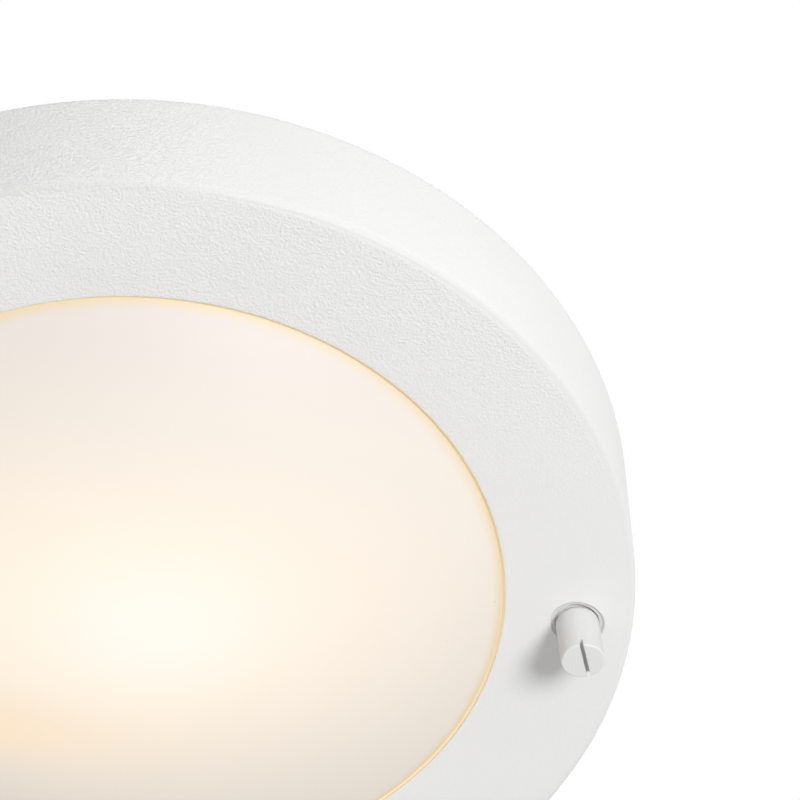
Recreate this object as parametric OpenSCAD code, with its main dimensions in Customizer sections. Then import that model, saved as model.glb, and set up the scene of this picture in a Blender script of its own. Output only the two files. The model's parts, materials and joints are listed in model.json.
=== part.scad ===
// Flush ceiling light: a pressed, powder-coated cover ring carries an opal glass dome.
// Three slotted screws hold the ring to pillars on a pressed base plate.
// Millimetres. +Z points up into the ceiling, the ceiling plane is z = 0, and the light
// hangs below it. The bulb lies along X, and the first cover screw stands on +X.

/* [Cover ring] */
// Diameter of the ring at its rear edge, next to the ceiling
ring_d = 310; // [300:1:330]
// How much smaller the ring's radius is at its front rim
ring_taper = 2.2; // [0:0.1:4]
// Height of the ring from its rear edge to its front rim
ring_h = 44.5; // [42:0.5:60]
// Thickness of the ring's steel sheet
sheet_t = 1.2; // [0.8:0.1:1.6]
// Outer radius of the rounded front rim
rim_r = 3.2; // [2.4:0.2:5]
// Width of the face, from the ring's rear radius in to the opening
face_w = 41.6; // [37:0.2:46]
// How far the face dishes back from the rim to the opening
dish_h = 6.2; // [4:0.2:8]
// Gap between the ring's rear edge and the ceiling
rear_gap = 1; // [0.5:0.1:2]

/* [Cover screws] */
// Distance from the ring's rear radius in to the screw circle
screw_inset = 19.4; // [18:0.2:22]
// Diameter of the screw's head
head_d = 13.4; // [10:0.1:14]
// Length of the screw's head
head_h = 19.2; // [10:0.1:24]
// Chamfer under the head
head_foot_chamfer = 0.9; // [0.3:0.1:1.2]
// Chamfer round the head's slotted end
head_end_chamfer = 0.35; // [0.2:0.05:0.6]
// Width of the screwdriver slot
slot_w = 1.2; // [0.8:0.1:1.6]
// Depth of the screwdriver slot
slot_deep = 2.5; // [1.5:0.1:4]
// Diameter of the threaded shank
shank_d = 4.9; // [4:0.1:6]
// Length of the threaded shank below the head
shank_h = 19; // [14:0.5:24]
// Chamfer at the end of the threaded shank
shank_chamfer = 0.6; // [0.3:0.1:1]
// Diameter of the pressed seat in the ring's face
seat_d = 16.6; // [15:0.1:18]
// Depth of the pressed seat on the screw's axis
seat_deep = 2; // [1.9:0.1:2.6]
// Thickness of the nylon washer under the head
washer_t = 0.8; // [0.6:0.1:2]
// Diameter of the nylon washer
washer_d = 11.8; // [9:0.1:12.5]
// Diameter of the ring that keeps the screw on the cover
retainer_d = 7.6; // [6.6:0.1:8]
// Thickness of the ring that keeps the screw on the cover
retainer_t = 0.8; // [0.5:0.1:1]
// Depth of the groove that the retaining ring snaps into
groove_deep = 0.3; // [0.2:0.05:0.5]

/* [Glass] */
// How far the dome bulges below the edge of the opening
dome_h = 35; // [25:0.5:40]
// Thickness of the glass
glass_t = 3.5; // [2.5:0.1:4]
// Height of the glass flange's underside above the edge of the opening
glass_lift = 2.7; // [2.4:0.1:4]
// Gap between the rubber channel and the hidden side of the screw seats
glass_gap = 3.25; // [2:0.25:5]
// Wall of the rubber channel round the flange
gasket_t = 1.6; // [1:0.1:2]
// How far the rubber channel's lips stay back from the opening's edge
lip_back = 1.7; // [1:0.1:3]

/* [Glass clips] */
// Distance of the clip studs outside the glass flange
clip_reach = 12; // [10:0.5:16]
// Width of a clip
clip_w = 14; // [10:1:20]
// Thickness of a clip
clip_t = 0.8; // [0.6:0.1:1.2]
// Radius of the corners at a clip's tip
clip_corner = 4; // [2:0.5:4.5]
// Length of a clip's lifted tip
clip_tip = 2.5; // [1.5:0.1:3]
// Angle of a clip's lifted tip
clip_tip_a = 25; // [15:1:40]
// Height of a clip's upturned tail
clip_tail = 4; // [2.5:0.5:6]
// Diameter of the stud's thread
stud_d = 4; // [3:0.5:5]
// Diameter of the stud's shoulder
stud_shoulder_d = 7; // [6:0.5:9]
// Width of the nut across its flats
nut_w = 7; // [6:0.5:9]
// Thickness of the nut
nut_t = 3.2; // [2.4:0.2:4]

/* [Base plate] */
// Gap between the ring's rear radius and the base plate's rim
base_inset = 5; // [4:0.2:8]
// Thickness of the base plate
plate_t = 1; // [0.8:0.1:1.2]
// Diameter of the flat middle, which carries the lampholder and the terminals
disc_d = 208; // [188:1:216]
// How far the border outside the flat middle steps down
step_h = 3; // [2.6:0.1:4]
// Depth of the turned-down rim below the ceiling
rim_h = 12; // [9:0.5:16]
// Outer radius of the bends in the base plate
bend_r = 2; // [1.6:0.1:3]
// Radius of the section of the stiffening beads
bead_r = 5; // [4:0.5:6]
// Depth of the beads' grooves in the plate's back
bead_deep = 1.4; // [0.8:0.1:2]
// Radius of the round bead in the middle
ring_bead_r = 22; // [18:1:26]
// Length of a straight bead
bead_l = 32; // [20:1:36]
// Distance of the straight beads' ends from the flat middle's edge
bead_inset = 12; // [10:1:16]
// Distance between the two ceiling-screw slots
slot_spacing = 140; // [120:1:160]
// Width of a ceiling-screw slot
mount_slot_w = 5; // [4:0.5:6]
// Length of a ceiling-screw slot
mount_slot_l = 14; // [10:1:20]
// Outer diameter of a pillar
post_d = 11; // [10.5:0.1:13]
// Depth of a pillar's threaded bore
post_bore_deep = 25; // [22:1:30]
// Radial clearance of the screw in the pillar
post_clear = 0.05; // [0.03:0.01:0.1]
// Diameter of the pillar's flange under the plate
post_flange_d = 15; // [13:0.5:17]
// Thickness of the pillar's flange
post_flange_t = 1.5; // [1:0.1:2.5]
// Diameter of the pillar's neck through the plate
post_neck_d = 6; // [5:0.1:6.5]
// Diameter of the pillar's riveted tail at the plate
tail_d = 8; // [7:0.5:9]
// Diameter of the pillar's riveted tail at its top
tail_top_d = 5.6; // [5:0.1:6.5]
// Height of the pillar's riveted tail
tail_h = 1.2; // [0.8:0.1:1.6]

/* [Cable entry] */
// Distance of the cable hole from the middle
cable_x = 78; // [70:1:79]
// Diameter of the cable hole in the plate
cable_hole_d = 15; // [13:0.5:17]
// Bore of the grommet
cable_d = 9; // [7:0.5:10]
// Diameter of the grommet's flanges
grommet_d = 20; // [18:0.5:22]
// Thickness of each grommet flange
grommet_lip = 1.6; // [1:0.1:2]
// Chamfer of the grommet's flanges
grommet_edge = 0.6; // [0.3:0.1:0.9]
// Radius of the pressed well round the cable hole
well_r = 13; // [12:0.5:15]

/* [Bulb and lampholder] */
// Distance of the bulb's globe from the middle
bulb_x = 10; // [6:1:14]
// Depth of the bulb's axis below the ceiling
bulb_depth = 35; // [33:0.5:38]
// Diameter of the globe
bulb_d = 45; // [40:1:48]
// Length of the bulb
bulb_h = 78; // [72:1:84]
// Radius of the neck below the globe
neck_r = 14; // [13.6:0.1:15]
// Radius of the hollow curve between neck and globe
neck_curve = 12; // [8:1:20]
// Mean radius of the rolled cap thread
thread_r = 12.65; // [12:0.05:13]
// Pitch of the rolled cap thread
thread_pitch = 3.63; // [3:0.01:4]
// Height of the rolled thread from the mean radius
thread_wave = 0.55; // [0.3:0.05:0.7]
// Length of the threaded cap
cap_h = 26; // [24:0.5:28]
// Radius of the bulb's end contact
contact_r = 4.6; // [4:0.1:5]
// Radius of the glass insulator round the end contact
insulator_r = 9; // [8:0.2:10]
// Outer radius of the lampholder's skirt
holder_r = 19; // [18:0.5:20]
// Radius of the lampholder's rear part
holder_rear_r = 16.5; // [15:0.5:17]
// Length of the lampholder behind the bulb's contact
holder_back = 20; // [18:0.5:22]
// Length of the skirt in front of the bulb's contact
holder_front = 27; // [25:0.5:30]
// Number of grip ribs on the skirt
rib_n = 18; // [8:1:24]
// Radius of a grip rib
rib_r = 0.7; // [0.5:0.1:1]
// Distance of the ribs' ends from the ends of the skirt
rib_inset = 4; // [2:0.5:6]
// Length of the cone between the lampholder's rear part and its skirt
shoulder_h = 4; // [3:0.5:6]
// Chamfer of the lampholder's edges
holder_edge = 1; // [0.5:0.1:1.5]
// Thickness of the threaded shell's sheet
shell_t = 0.5; // [0.4:0.05:0.8]
// Gap between the bulb's cap and the threaded shell
shell_gap = 0.3; // [0.2:0.05:0.5]

/* [Bracket] */
// Thickness of the bracket
bracket_t = 1.5; // [1.2:0.1:2]
// Width of the bracket
bracket_w = 28; // [24:1:34]
// Length of the bracket's foot on the plate
foot_l = 22; // [18:1:24]
// How far the bracket's leg reaches past the bulb's axis
leg_over = 13; // [12:0.5:16]
// Radius of the corners of the bracket's foot and leg
bracket_corner = 4; // [2:0.5:6]

/* [Terminal block] */
// Length of the block along the conductors
block_l = 20; // [18:1:24]
// Distance of the block from the well round the cable hole
block_gap = 1; // [0.5:0.5:3]
// Distance between two poles
pole_pitch = 11; // [10:0.5:13]
// Width of a pole
pole_w = 9.4; // [8:0.2:10]
// Height of a pole above the plate
pole_h = 15; // [13:0.5:18]
// Chamfer along a pole
pole_edge = 1.2; // [0.6:0.1:1.6]
// Depth of the funnel at each wire entry
entry_funnel = 1; // [0.5:0.1:1.2]
// Outer diameter of a brass insert
insert_d = 5; // [4.4:0.1:5.6]
// Bore of a brass insert
insert_bore = 3.2; // [2.6:0.1:3.6]
// Diameter of a clamping screw
clamp_d = 2.8; // [2.4:0.1:3]
// Thread diameter of the screw that holds the block
block_screw_d = 2.9; // [2.5:0.1:3.2]
// Head diameter of the screw that holds the block
block_head_d = 4.8; // [4.2:0.1:5.2]

/* [Wiring and earth] */
// Diameter of an insulated wire
wire_d = 2.4; // [1.8:0.1:2.8]
// Thread diameter of the machine screws
machine_d = 3.9; // [3:0.1:4]
// Head diameter of the machine screws
machine_head_d = 7.5; // [6:0.1:8]
// Head height of the machine screws
machine_head_h = 2.4; // [2:0.1:3]
// Thickness of the earth washer and tag
tag_t = 0.8; // [0.6:0.1:1]

/* [Hidden] */
screw_n = 3;
clip_n = 3;
pole_n = 3;
bead_n = 4;
slot_turns = [74, 20, 132];
screw_ids = [for (i = [1:screw_n]) i];
clip_ids = [for (i = [1:clip_n]) i];
$fn = 96;

joint_gap = 0.3; // gap between a fixed piece and one that moves away from it
touch_gap = 0.1; // gap between pieces that only lie against each other
hole_room = 0.4; // how much wider a screw's hole is than its thread
tap_room = 0.1;  // how much wider a threaded hole is than its thread
past = 1;        // how far a cut runs past what it cuts

// Cover ring, from the rear edge round the rim to the opening
ring_r = ring_d / 2;
front_r = ring_r - ring_taper;
opening_r = ring_r - face_w;
rear_z = -rear_gap;
front_z = rear_z - ring_h;
edge_z = front_z + dish_h;
rim_c = [front_r - rim_r, front_z + rim_r];
wall_a = tangent_angle([ring_r, rear_z], rim_c, rim_r, -1);
face_a = tangent_angle([opening_r, edge_z], rim_c, rim_r, 1) - 360;
face_tilt = -90 - face_a;

// Screws and their seats
screw_r = ring_r - screw_inset;
seat_z = face_z(screw_r) + seat_deep;
seat_back_z = seat_z + sheet_t;
head_z = seat_z - washer_t;
retainer_z = seat_back_z + touch_gap;
groove_d = shank_d - 2 * groove_deep;

// Glass, gasket and clips
flange_z = edge_z + glass_lift;
dome_edge_z = face_back_z(opening_r) + touch_gap * 4;
dome_z = edge_z - dome_h;
dome_r = (pow(opening_r, 2) + pow(dome_edge_z - dome_z, 2)) / (2 * (dome_edge_z - dome_z));
dome_c = dome_z + dome_r;
gasket_r = screw_r - seat_d / 2 - sheet_t - glass_gap;
flange_r = gasket_r - gasket_t - touch_gap;
lip_r = opening_r + lip_back;
gasket_top = flange_z + glass_t + touch_gap + gasket_t;
stud_r = gasket_r + clip_reach - gasket_t;
stud_top = gasket_top + clip_t + nut_t + stud_d / 3;
clip_bend_r = 2 * clip_t;

// Base plate
base_r = ring_r - base_inset;
disc_r = disc_d / 2;
border_z = -step_h - plate_t;
step_shift = plate_t * tan(22.5);
bead_axis_z = bead_r - plate_t - bead_deep;
bead_end_r = disc_r - bead_inset;
post_end_z = seat_back_z + joint_gap;
seal_r = base_r - bend_r;

// Bulb and lampholder, measured along the bulb's axis from its end contact
bulb_r = bulb_d / 2;
globe_h = bulb_h - bulb_r;
contact_x = bulb_x - globe_h;
leg_x = contact_x - holder_back;
neck_run = sqrt(pow(bulb_r + neck_curve, 2) - pow(neck_r + neck_curve, 2));
thread_start = 4.4;
thread_turns = 5;
shell_room = 0.8;
cavity_r = thread_r + thread_wave + shell_gap + shell_t + shell_room;
floor_h = 2;
floor_hole_r = 6;
foot_z = -plate_t - bracket_t;
foot_screw_x = leg_x - bracket_t - foot_l * 0.6;
foot_screw_y = bracket_w / 4;
holder_screw_z = 9.5;
holder_screw_d = machine_d - 0.9;
holder_screw_h = 8;
wire_spread = 4;

// Terminal block and earth
block_x = cable_x - well_r - plate_t - block_gap - block_l / 2;
block_z = -plate_t;
conductor_z = block_z - pole_h * 0.4;
web_h = pole_h * 0.55;
clamp_x = block_l * 0.27;
clamp_sunk = 1;
driver_slot_w = 0.6;
driver_slot_deep = 0.8;
earth_at = [22, -46];
barrel_y = machine_head_d / 2 + 2;
barrel_l = 6;
barrel_wall = 0.7;
barrel_r = wire_d / 2 + barrel_wall;
barrel_z = -plate_t - barrel_r - touch_gap;
tag_edge = 0.8;
tooth_d = 1;
tooth_n = 10;

// Wire routes, from the terminal block to the lampholder and the earth tag
wire_step = 5;
wire_end_x = contact_x - 11;
wire_end_y = holder_rear_r - 4;
live_route = [
    [block_x - block_l / 2 + 3, 0, conductor_z], [block_x - block_l / 2 - 3, 0.5, conductor_z],
    [34, 8, -4.6], [28, 22, -3], [16, 31, -2.8], [-8, 33, -2.6], [-30, 32, -3], [-46, 32, -9],
    [wire_end_x + 1, 29, -22], [wire_end_x, 24, -29],
    [wire_end_x, wire_end_y, -bulb_depth + wire_spread]
];
neutral_route = [
    [block_x - block_l / 2 + 3, pole_pitch, conductor_z],
    [block_x - block_l / 2 - 4, pole_pitch + 2, conductor_z],
    [36, 24, -4.4], [26, 32, -3], [10, 36, -2.8], [-12, 37, -2.6], [-34, 36, -4],
    [-50, 36, -16], [wire_end_x, 33, -30], [wire_end_x, 26, -37],
    [wire_end_x, wire_end_y, -bulb_depth - wire_spread]
];
earth_route = [
    [block_x - block_l / 2 + 3, -pole_pitch, conductor_z],
    [block_x - block_l / 2 - 5, -pole_pitch - 1, conductor_z],
    [34, -19, -5], [26, -25, -3.4], [earth_at[0] + 0.4, -30, barrel_z],
    [earth_at[0], earth_at[1] + barrel_y + barrel_l, barrel_z],
    [earth_at[0], earth_at[1] + barrel_y + 1, barrel_z]
];

// Height of the face's outer surface at a radius
function face_z(r) = edge_z - (r - opening_r) * tan(face_tilt);

// Height of the face's hidden surface at a radius
function face_back_z(r) = face_z(r) + sheet_t / cos(face_tilt);

// Angle at which a line from point p touches a circle, seen from the circle's centre
function tangent_angle(p, c, r, side) =
    let (d = p - c) atan2(d[1], d[0]) + side * acos(r / norm(d));

// Point at an angle on a circle
function on_circle(c, r, a) = c + r * [cos(a), sin(a)];

// Points along an arc
function arc(c, r, from, to, n = 8) =
    [for (i = [0:n]) on_circle(c, r, from + (to - from) * i / n)];

// Points of the rolled thread, from one height over a number of turns
function wave(r, h, turns, steps = 8) =
    [for (i = [0:turns * steps])
        [r - thread_wave * cos(360 * i / steps), h + thread_pitch * i / steps]];

function unit(v) = v / norm(v);
function reverse(list) = [for (i = [len(list) - 1:-1:0]) list[i]];

// One point of a smooth curve between p1 and p2
function spline_point(p0, p1, p2, p3, t) =
    0.5 * (2 * p1 + (p2 - p0) * t + (2 * p0 - 5 * p1 + 4 * p2 - p3) * t * t
        + (3 * p1 - p0 - 3 * p2 + p3) * t * t * t);

// Smooth curve through all points of a route
function spline(route) =
    let (last = len(route) - 1)
    concat(
        [for (i = [0:last - 1], k = [0:max(1, round(norm(route[i + 1] - route[i]) / wire_step)) - 1])
            spline_point(
                route[max(i - 1, 0)], route[i], route[i + 1], route[min(i + 2, last)],
                k / max(1, round(norm(route[i + 1] - route[i]) / wire_step)))],
        [route[last]]);

// Directions across a curve, each carried over from the one before
function carried(tangents, side, i = 0) =
    i == len(tangents) ? [] :
    let (s = unit(side - (side * tangents[i]) * tangents[i]))
    concat([s], carried(tangents, s, i + 1));

module at_screw(i) {
    rotate(360 * (i - 1) / screw_n) translate([screw_r, 0, 0]) children();
}

module at_clip(i) {
    rotate(360 * (i - 0.5) / clip_n) children();
}

module along_bulb() {
    translate([contact_x, 0, -bulb_depth]) rotate([0, 90, 0]) children();
}

module tube(r_out, r_in, h) {
    difference() {
        cylinder(r = r_out, h = h);
        translate([0, 0, -past]) cylinder(r = r_in, h = h + 2 * past);
    }
}

// Flat shape with round ends, lying along Y
module slot_shape(length, width) {
    square([width, length - width], center = true);
    for (side = [-1, 1]) translate([0, side * (length - width) / 2]) circle(d = width);
}

// Flat shape along X with two rounded corners at its far end
module tab_shape(length, width, corner) {
    translate([0, -width / 2]) square([length - corner, width]);
    translate([0, corner - width / 2]) square([length, width - 2 * corner]);
    for (side = [-1, 1])
        translate([length - corner, side * (width / 2 - corner)]) circle(r = corner);
}

// Slotted pan-head screw: the head hangs below z = 0 and the thread points up
module machine_screw(thread_d, thread_h, top_d, top_h) {
    crown = 0.8;
    driver_slot = 0.14;
    difference() {
        union() {
            cylinder(d = thread_d, h = thread_h);
            translate([0, 0, -top_h]) cylinder(d1 = top_d * crown, d2 = top_d, h = top_h);
        }
        translate([0, 0, -top_h])
            cube([top_d + past, top_d * driver_slot, top_h], center = true);
    }
}

// Section of the ring's sheet: outer surface forwards, hidden surface back
module ring_section() {
    polygon(concat(
        [[ring_r, rear_z]],
        arc(rim_c, rim_r, wall_a, face_a),
        [[opening_r, edge_z], on_circle([opening_r, edge_z], -sheet_t, face_a)],
        arc(rim_c, rim_r - sheet_t, face_a, wall_a),
        [on_circle([ring_r, rear_z], -sheet_t, wall_a)]));
}

// Everything behind the ring's outer surface
module ring_envelope() {
    rotate_extrude() polygon(concat(
        [[0, rear_z], [ring_r, rear_z]],
        arc(rim_c, rim_r, wall_a, face_a),
        [[opening_r, edge_z], [0, edge_z]]));
}

module cover_ring() {
    wall_r = seat_d / 2 + sheet_t;
    color("whitesmoke") difference() {
        union() {
            difference() {
                rotate_extrude() ring_section();
                for (i = screw_ids) at_screw(i)
                    translate([0, 0, front_z - past])
                        cylinder(d = seat_d + sheet_t, h = seat_back_z - front_z);
            }
            intersection() {
                ring_envelope();
                for (i = screw_ids) at_screw(i) difference() {
                    translate([0, 0, front_z]) cylinder(r = wall_r, h = seat_back_z - front_z);
                    translate([0, 0, front_z - past])
                        cylinder(d = seat_d, h = seat_z - front_z + past);
                }
            }
        }
        for (i = screw_ids) at_screw(i)
            translate([0, 0, seat_z - past]) cylinder(d = shank_d + hole_room, h = sheet_t + 2 * past);
    }
}

module glass_diffuser() {
    top_z = flange_z + glass_t;
    color("oldlace") difference() {
        union() {
            translate([0, 0, dome_c]) sphere(r = dome_r);
            translate([0, 0, flange_z]) cylinder(r = flange_r, h = glass_t);
        }
        translate([0, 0, dome_c]) sphere(r = dome_r - glass_t);
        translate([0, 0, top_z]) cylinder(r = dome_r + past, h = dome_c + dome_r - top_z + past);
    }
}

module glass_gasket() {
    inner_r = flange_r + touch_gap;
    color("white") rotate_extrude() polygon([
        [lip_r, face_back_z(lip_r) + touch_gap / 2],
        [gasket_r, face_back_z(gasket_r) + touch_gap / 2],
        [gasket_r, gasket_top],
        [lip_r, gasket_top],
        [lip_r, gasket_top - gasket_t],
        [inner_r, gasket_top - gasket_t],
        [inner_r, flange_z],
        [lip_r, flange_z]
    ]);
}

// Side view of a clip along X: lifted tip, flat middle on the gasket, upturned tail
module clip_section() {
    tail_x = stud_r + clip_w / 2;
    bend_c = [tail_x - clip_bend_r, clip_bend_r];
    polygon(concat(
        [[lip_r, clip_tip * tan(clip_tip_a)], [lip_r + clip_tip, 0]],
        arc(bend_c, clip_bend_r, -90, 0),
        [[tail_x, clip_tail], [tail_x - clip_t, clip_tail]],
        arc(bend_c, clip_bend_r - clip_t, 0, -90),
        [[lip_r + clip_tip + clip_t * tan(clip_tip_a / 2), clip_t],
            [lip_r + clip_t * sin(clip_tip_a), clip_tip * tan(clip_tip_a) + clip_t * cos(clip_tip_a)]]));
}

// Spring strip from the stud to the gasket
module glass_clip() {
    tail_x = stud_r + clip_w / 2;
    color("silver") translate([0, 0, gasket_top]) difference() {
        intersection() {
            rotate([90, 0, 0]) linear_extrude(clip_w, center = true) clip_section();
            translate([tail_x, 0, -past]) linear_extrude(clip_tail + 2 * past) rotate(180)
                tab_shape(tail_x - lip_r, clip_w, clip_corner);
        }
        translate([stud_r, 0, -past]) cylinder(d = stud_d + hole_room, h = clip_t + 2 * past);
    }
}

// Stud with a shoulder, welded to the hidden side of the face
module clip_stud() {
    foot_z = face_back_z(stud_r + stud_shoulder_d);
    color("silver") difference() {
        translate([stud_r, 0, foot_z]) {
            cylinder(d = stud_shoulder_d, h = gasket_top - foot_z);
            cylinder(d = stud_d, h = stud_top - foot_z);
        }
        rotate_extrude() polygon([
            [opening_r, front_z - past], [front_r, front_z - past],
            [front_r, face_back_z(front_r)], [opening_r, face_back_z(opening_r)]
        ]);
    }
}

module clip_nut() {
    color("silver") translate([stud_r, 0, gasket_top + clip_t]) difference() {
        cylinder(d = nut_w / cos(30), h = nut_t, $fn = 6);
        translate([0, 0, -past]) cylinder(d = stud_d + tap_room, h = nut_t + 2 * past);
    }
}

module cover_screw(turn) {
    head_r = head_d / 2;
    groove_z = retainer_z - head_z - touch_gap / 2;
    color("whitesmoke") translate([0, 0, head_z]) difference() {
        rotate_extrude() polygon([
            [0, -head_h], [head_r - head_end_chamfer, -head_h], [head_r, -head_h + head_end_chamfer],
            [head_r, -touch_gap - head_foot_chamfer], [head_r - head_foot_chamfer, -touch_gap],
            [shank_d / 2, -touch_gap],
            [shank_d / 2, groove_z], [groove_d / 2, groove_z],
            [groove_d / 2, groove_z + retainer_t + touch_gap],
            [shank_d / 2, groove_z + retainer_t + touch_gap],
            [shank_d / 2, shank_h - shank_chamfer], [shank_d / 2 - shank_chamfer, shank_h], [0, shank_h]
        ]);
        rotate(turn) translate([0, 0, -head_h])
            cube([head_d + 2 * past, slot_w, 2 * slot_deep], center = true);
    }
}

module seat_washer() {
    color("white") translate([0, 0, head_z])
        tube(washer_d / 2, (shank_d + hole_room) / 2, washer_t);
}

module retaining_ring() {
    color("silver") translate([0, 0, retainer_z])
        tube(retainer_d / 2, (groove_d + tap_room) / 2, retainer_t);
}

// Half section of the base plate: flat middle, stepped border and turned-down rim
module plate_section() {
    border_r = disc_r + step_h;
    bend_c = [base_r - bend_r, -step_h - bend_r];
    polygon(concat(
        [[0, 0], [disc_r, 0], [border_r, -step_h]],
        arc(bend_c, bend_r, 90, 0),
        [[base_r, -rim_h], [base_r - plate_t, -rim_h]],
        arc(bend_c, bend_r - plate_t, 0, 90),
        [[border_r - step_shift, border_z], [disc_r - step_shift, -plate_t], [0, -plate_t]]));
}

// Threaded holes of the base plate: two for the bracket, one each for earth and block
module plate_screw_hole(at, thread_d) {
    translate([at[0], at[1], -plate_t - past])
        cylinder(d = thread_d + tap_room, h = plate_t + 2 * past);
}

// Round bars that shape the stiffening beads: a ring, and straight ones with round ends
module bead_bars(r) {
    translate([0, 0, bead_axis_z]) {
        rotate_extrude() translate([ring_bead_r, 0]) circle(r = r);
        for (i = [1:bead_n]) rotate(360 * (i - 0.5) / bead_n) {
            translate([bead_end_r - bead_l, 0, 0]) rotate([0, 90, 0]) cylinder(r = r, h = bead_l);
            for (x = [bead_end_r - bead_l, bead_end_r]) translate([x, 0, 0]) sphere(r = r);
        }
    }
}

module base_plate() {
    color("white") difference() {
        union() {
            difference() {
                rotate_extrude() plate_section();
                translate([cable_x, 0, -plate_t - past]) cylinder(r = well_r, h = plate_t + 2 * past);
            }
            intersection() {
                bead_bars(bead_r);
                translate([0, 0, border_z]) cylinder(r = disc_r, h = -border_z - plate_t / 2);
            }
            translate([cable_x, 0, border_z]) tube(well_r + plate_t, well_r, -border_z);
            translate([cable_x, 0, border_z]) cylinder(r = well_r + plate_t / 2, h = plate_t);
        }
        bead_bars(bead_r - plate_t);
        translate([cable_x, 0, border_z - past]) cylinder(d = cable_hole_d, h = plate_t + 2 * past);
        for (side = [-1, 1]) translate([0, side * slot_spacing / 2, -plate_t - past])
            linear_extrude(plate_t + 2 * past) slot_shape(mount_slot_l, mount_slot_w);
        for (i = screw_ids) at_screw(i)
            translate([0, 0, border_z - past]) cylinder(d = post_neck_d, h = plate_t + 2 * past);
        for (side = [-1, 1]) plate_screw_hole([foot_screw_x, side * foot_screw_y], machine_d);
        plate_screw_hole([block_x, pole_pitch / 2], block_screw_d);
        plate_screw_hole(earth_at, machine_d);
    }
}

module ceiling_seal() {
    inner_r = screw_r + tail_d / 2 + joint_gap;
    color("dimgray") translate([0, 0, -step_h]) tube(seal_r, inner_r, step_h);
}

module cable_grommet() {
    flange_r = grommet_d / 2;
    under_z = border_z - grommet_lip;
    over_z = border_z + plate_t + grommet_lip;
    color("gainsboro") translate([cable_x, 0, 0]) rotate_extrude() polygon([
        [cable_d / 2, under_z], [flange_r - grommet_edge, under_z],
        [flange_r, under_z + grommet_edge], [flange_r, border_z],
        [cable_hole_d / 2, border_z], [cable_hole_d / 2, border_z + plate_t],
        [flange_r, border_z + plate_t], [flange_r, over_z - grommet_edge],
        [flange_r - grommet_edge, over_z], [cable_d / 2, over_z]
    ]);
}

// Turned pillar, riveted through the border, with a counterbore for the retaining ring
module cover_pillar() {
    pillar_h = border_z - post_end_z;
    color("silver") difference() {
        union() {
            translate([0, 0, post_end_z]) cylinder(d = post_d, h = pillar_h);
            translate([0, 0, border_z - post_flange_t]) cylinder(d = post_flange_d, h = post_flange_t);
            translate([0, 0, border_z]) cylinder(d = post_neck_d, h = plate_t);
            translate([0, 0, -step_h]) cylinder(d1 = tail_d, d2 = tail_top_d, h = tail_h);
        }
        translate([0, 0, post_end_z - past])
            cylinder(d = shank_d + 2 * post_clear, h = post_bore_deep + past);
        translate([0, 0, post_end_z - past])
            cylinder(d = retainer_d + 2 * joint_gap, h = past + retainer_t + touch_gap + joint_gap);
    }
}

// Angle bracket: a foot on the plate and a leg that carries the lampholder
module lampholder_bracket() {
    leg_h = bulb_depth + leg_over - plate_t;
    foot_end_x = leg_x - bracket_t - foot_l;
    leg_end_z = -plate_t - leg_h;
    inner_r = bracket_t;
    bend_c = [leg_x - bracket_t - inner_r, foot_z - inner_r];
    color("silver") difference() {
        intersection() {
            rotate([90, 0, 0]) linear_extrude(bracket_w, center = true) polygon(concat(
                [[foot_end_x, -plate_t]],
                arc(bend_c, inner_r + bracket_t, 90, 0),
                [[leg_x, leg_end_z], [leg_x - bracket_t, leg_end_z]],
                arc(bend_c, inner_r, 0, 90),
                [[foot_end_x, foot_z]]));
            translate([leg_x, 0, leg_end_z]) linear_extrude(leg_h) rotate(180)
                tab_shape(foot_l + bracket_t, bracket_w, bracket_corner);
            translate([foot_end_x, 0, -plate_t]) rotate([0, 90, 0])
                linear_extrude(foot_l + bracket_t) tab_shape(leg_h, bracket_w, bracket_corner);
        }
        for (side = [-1, 1]) translate([foot_screw_x, side * foot_screw_y, foot_z - past])
            cylinder(d = machine_d + hole_room, h = bracket_t + 2 * past);
        for (side = [-1, 1]) translate([leg_x + past, 0, -bulb_depth + side * holder_screw_z])
            rotate([0, -90, 0]) cylinder(d = holder_screw_d + hole_room, h = bracket_t + 2 * past);
    }
}

module bracket_screws() {
    color("silver") for (side = [-1, 1])
        translate([foot_screw_x, side * foot_screw_y, foot_z])
            machine_screw(machine_d, -foot_z - touch_gap, machine_head_d, machine_head_h);
}

// Moulded lampholder: ribbed skirt round the threaded shell, solid rear with wire entries
module lampholder_body() {
    color("ivory") difference() {
        along_bulb() difference() {
            union() {
                rotate_extrude() polygon([
                    [0, -holder_back], [holder_rear_r - holder_edge, -holder_back],
                    [holder_rear_r, -holder_back + holder_edge], [holder_rear_r, -shoulder_h],
                    [holder_r, 0], [holder_r, holder_front - holder_edge],
                    [holder_r - holder_edge, holder_front], [0, holder_front]
                ]);
                for (i = [1:rib_n]) rotate(360 * i / rib_n) translate([holder_r, 0, rib_inset])
                    cylinder(r = rib_r, h = holder_front - 2 * rib_inset, $fn = 16);
            }
            translate([0, 0, -floor_h]) cylinder(r = cavity_r, h = holder_front + floor_h + past);
            for (side = [-1, 1]) translate([side * holder_screw_z, 0, -holder_back - past])
                cylinder(d = holder_screw_d + tap_room, h = holder_screw_h + 2 * past);
        }
        for (side = [-1, 1])
            translate([wire_end_x, wire_end_y - joint_gap, -bulb_depth + side * wire_spread])
                rotate([-90, 0, 0]) cylinder(d = wire_d + 2 * joint_gap, h = holder_r);
    }
}

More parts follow.
